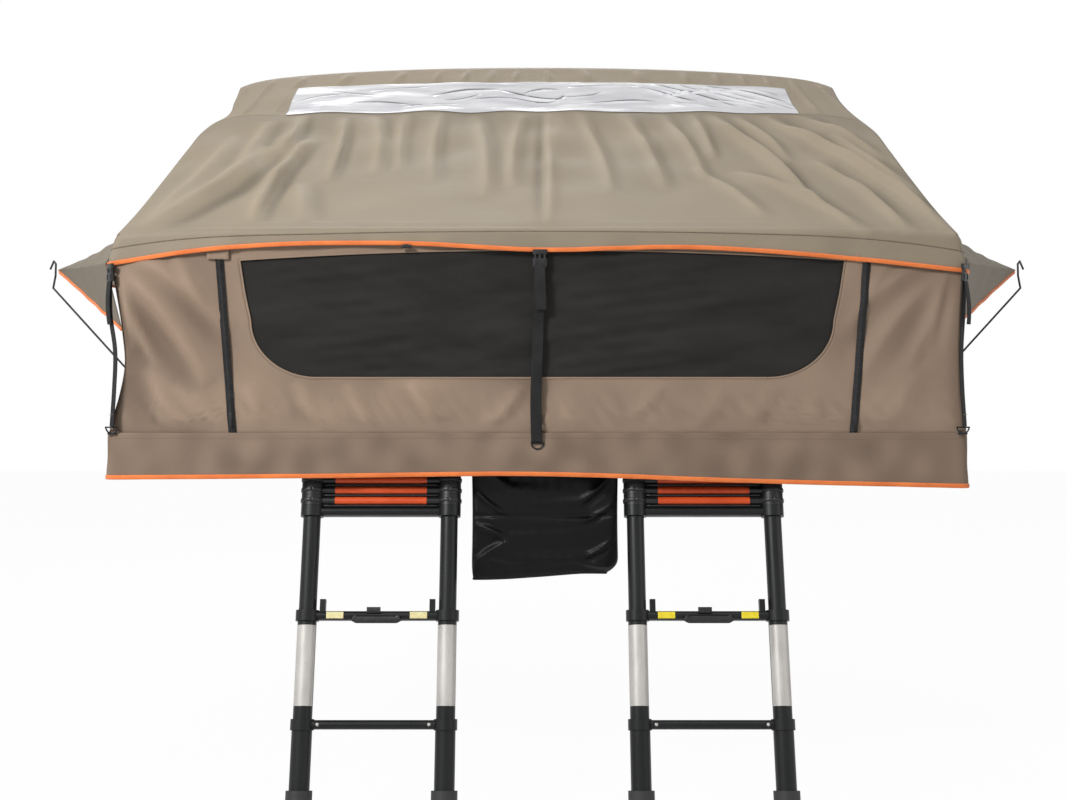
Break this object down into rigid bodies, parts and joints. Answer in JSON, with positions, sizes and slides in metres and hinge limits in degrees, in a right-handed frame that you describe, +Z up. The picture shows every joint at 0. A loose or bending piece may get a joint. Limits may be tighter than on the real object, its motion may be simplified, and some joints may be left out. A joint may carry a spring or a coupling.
{
  "type": "roof top tent",
  "caption": "Fold-out soft roof top tent for a roof rack: canopy on fanned bows over a hinged base, propped side awnings, skirt, and telescopic ladders at the front.",
  "frame": {"origin": "centre of the mounting bolt pattern, on the underside of the mounting channels", "axes": "+X to the right seen from the ladder side, +Y from the ladder side to the rear, +Z up"},
  "size_m": [2.9422, 2.6304, 2.214],
  "materials": {
    "frame_aluminium": "satin",
    "floor_board": "matte",
    "hinge_steel": "satin",
    "mattress_cover": "matte",
    "canopy_cloth": "matte",
    "wall_cloth": "matte",
    "clear_film": "gloss",
    "mesh": "matte",
    "webbing": "matte",
    "black_plastic": "satin",
    "ring_steel": "satin",
    "ladder_black": "satin",
    "ladder_orange": "satin",
    "bracket_steel": "satin",
    "boot_rubber": "matte",
    "bag_cloth": "satin"
  },
  "bodies": {
    "fixed_base": {"base_frame_rear": "frame_aluminium", "floor_panel_rear": "floor_board", "mount_channels": "frame_aluminium", "channel_screws": "hinge_steel", "hinge_plates_rear": "hinge_steel", "hinge_pins": "hinge_steel", "mattress_rear": "mattress_cover", "skirt_rear": "wall_cloth", "rod_sockets_rear": "black_plastic", "wall_rear": "wall_cloth", "window_rear": "mesh", "awning_rods_rear": "hinge_steel"},
    "rear_bow": {"bow_rear": "frame_aluminium"},
    "main_bow": {"bow_main": "frame_aluminium", "roof_front": "canopy_cloth", "roof_rear": "canopy_cloth", "skylight_front": "clear_film", "skylight_rear": "clear_film", "side_wall_left": "wall_cloth", "side_wall_right": "wall_cloth", "side_window_left": "mesh", "side_window_right": "mesh", "awning_left": "canopy_cloth", "awning_right": "canopy_cloth"},
    "front_bow": {"bow_front": "frame_aluminium", "buckles": "black_plastic"},
    "overhang_base": {"base_frame_front": "frame_aluminium", "floor_panel_front": "floor_board", "hinge_plates_front": "hinge_steel", "mattress_front": "mattress_cover", "skirt_front": "wall_cloth", "rod_sockets_front": "black_plastic", "ladder_brackets": "bracket_steel", "wall_front": "wall_cloth", "window_front": "mesh", "door_zips": "black_plastic", "straps": "webbing", "d_rings": "ring_steel", "shoe_bag": "bag_cloth", "awning_rods_front": "hinge_steel"},
    "left_ladder_top": {"left_section_7": "ladder_orange"},
    "left_ladder_6": {"left_section_6": "ladder_orange"},
    "left_ladder_5": {"left_section_5": "ladder_orange"},
    "left_ladder_4": {"left_section_4": "ladder_orange"},
    "left_ladder_3": {"left_section_3": "ladder_black"},
    "left_ladder_2": {"left_section_2": "ladder_black"},
    "left_ladder_1": {"left_section_1": "ladder_black", "left_feet": "boot_rubber"},
    "left_ladder_release": {"left_release_bar": "black_plastic"},
    "right_ladder_top": {"right_section_7": "ladder_orange"},
    "right_ladder_6": {"right_section_6": "ladder_orange"},
    "right_ladder_5": {"right_section_5": "ladder_orange"},
    "right_ladder_4": {"right_section_4": "ladder_orange"},
    "right_ladder_3": {"right_section_3": "ladder_black"},
    "right_ladder_2": {"right_section_2": "ladder_black"},
    "right_ladder_1": {"right_section_1": "ladder_black", "right_feet": "boot_rubber"},
    "right_ladder_release": {"right_release_bar": "black_plastic"}
  },
  "joints": [
    {"name": "rear_bow_fold", "type": "hinge", "parent": "fixed_base", "child": "rear_bow", "pos_m": [0, -0.6, 0.21], "axis": [-1, 0, 0], "range_deg": [0, 20.1]},
    {"name": "fold", "type": "hinge", "parent": "rear_bow", "child": "main_bow", "pos_m": [0, -0.6, 0.21], "axis": [-1, 0, 0], "range_deg": [0, 69.9], "deforming": ["roof_front", "roof_rear", "skylight_front", "skylight_rear", "side_wall_left", "side_wall_right", "side_window_left", "side_window_right", "awning_left", "awning_right", "wall_front", "wall_rear", "window_front", "window_rear", "door_zips", "straps"]},
    {"name": "front_bow_fold", "type": "hinge", "parent": "main_bow", "child": "front_bow", "pos_m": [0, -0.6, 0.21], "axis": [-1, 0, 0], "range_deg": [0, 69.9]},
    {"name": "overhang_fold", "type": "hinge", "parent": "front_bow", "child": "overhang_base", "pos_m": [0, -0.6, 0.21], "axis": [-1, 0, 0], "range_deg": [0, 20.1]},
    {"name": "left_ladder_swing", "type": "hinge", "parent": "overhang_base", "child": "left_ladder_top", "pos_m": [-0.4, -1.735, 0.005], "axis": [-1, 0, 0], "range_deg": [-102, 9]},
    {"name": "left_slide_6", "type": "slide", "parent": "left_ladder_top", "child": "left_ladder_6", "axis": [0, -0.2756, -0.9613], "range_m": [0, 0.237]},
    {"name": "left_slide_5", "type": "slide", "parent": "left_ladder_6", "child": "left_ladder_5", "axis": [0, -0.2756, -0.9613], "range_m": [0, 0.237]},
    {"name": "left_slide_4", "type": "slide", "parent": "left_ladder_5", "child": "left_ladder_4", "axis": [0, -0.2756, -0.9613], "range_m": [0, 0.237]},
    {"name": "left_slide_3", "type": "slide", "parent": "left_ladder_4", "child": "left_ladder_3", "axis": [0, -0.2756, -0.9613], "range_m": [0, 0.237]},
    {"name": "left_slide_2", "type": "slide", "parent": "left_ladder_3", "child": "left_ladder_2", "axis": [0, -0.2756, -0.9613], "range_m": [-0.21, 0]},
    {"name": "left_slide_1", "type": "slide", "parent": "left_ladder_2", "child": "left_ladder_1", "axis": [0, -0.2756, -0.9613], "range_m": [-0.237, 0]},
    {"name": "left_release_press", "type": "slide", "parent": "left_ladder_2", "child": "left_ladder_release", "axis": [0, 0.2756, 0.9613], "range_m": [0, 0.006], "stiffness_N_per_m": 600},
    {"name": "right_ladder_swing", "type": "hinge", "parent": "overhang_base", "child": "right_ladder_top", "pos_m": [0.425, -1.735, 0.005], "axis": [-1, 0, 0], "range_deg": [-102, 9]},
    {"name": "right_slide_6", "type": "slide", "parent": "right_ladder_top", "child": "right_ladder_6", "axis": [0, -0.2756, -0.9613], "range_m": [0, 0.237]},
    {"name": "right_slide_5", "type": "slide", "parent": "right_ladder_6", "child": "right_ladder_5", "axis": [0, -0.2756, -0.9613], "range_m": [0, 0.237]},
    {"name": "right_slide_4", "type": "slide", "parent": "right_ladder_5", "child": "right_ladder_4", "axis": [0, -0.2756, -0.9613], "range_m": [0, 0.237]},
    {"name": "right_slide_3", "type": "slide", "parent": "right_ladder_4", "child": "right_ladder_3", "axis": [0, -0.2756, -0.9613], "range_m": [0, 0.237]},
    {"name": "right_slide_2", "type": "slide", "parent": "right_ladder_3", "child": "right_ladder_2", "axis": [0, -0.2756, -0.9613], "range_m": [-0.21, 0]},
    {"name": "right_slide_1", "type": "slide", "parent": "right_ladder_2", "child": "right_ladder_1", "axis": [0, -0.2756, -0.9613], "range_m": [-0.237, 0]},
    {"name": "right_release_press", "type": "slide", "parent": "right_ladder_2", "child": "right_ladder_release", "axis": [0, 0.2756, 0.9613], "range_m": [0, 0.006], "stiffness_N_per_m": 600}
  ],
  "couplings": [
    {"joint": "rear_bow_fold", "follows": "fold", "ratio": 0.28755},
    {"joint": "front_bow_fold", "follows": "fold", "ratio": 1},
    {"joint": "overhang_fold", "follows": "fold", "ratio": 0.28755}
  ]
}
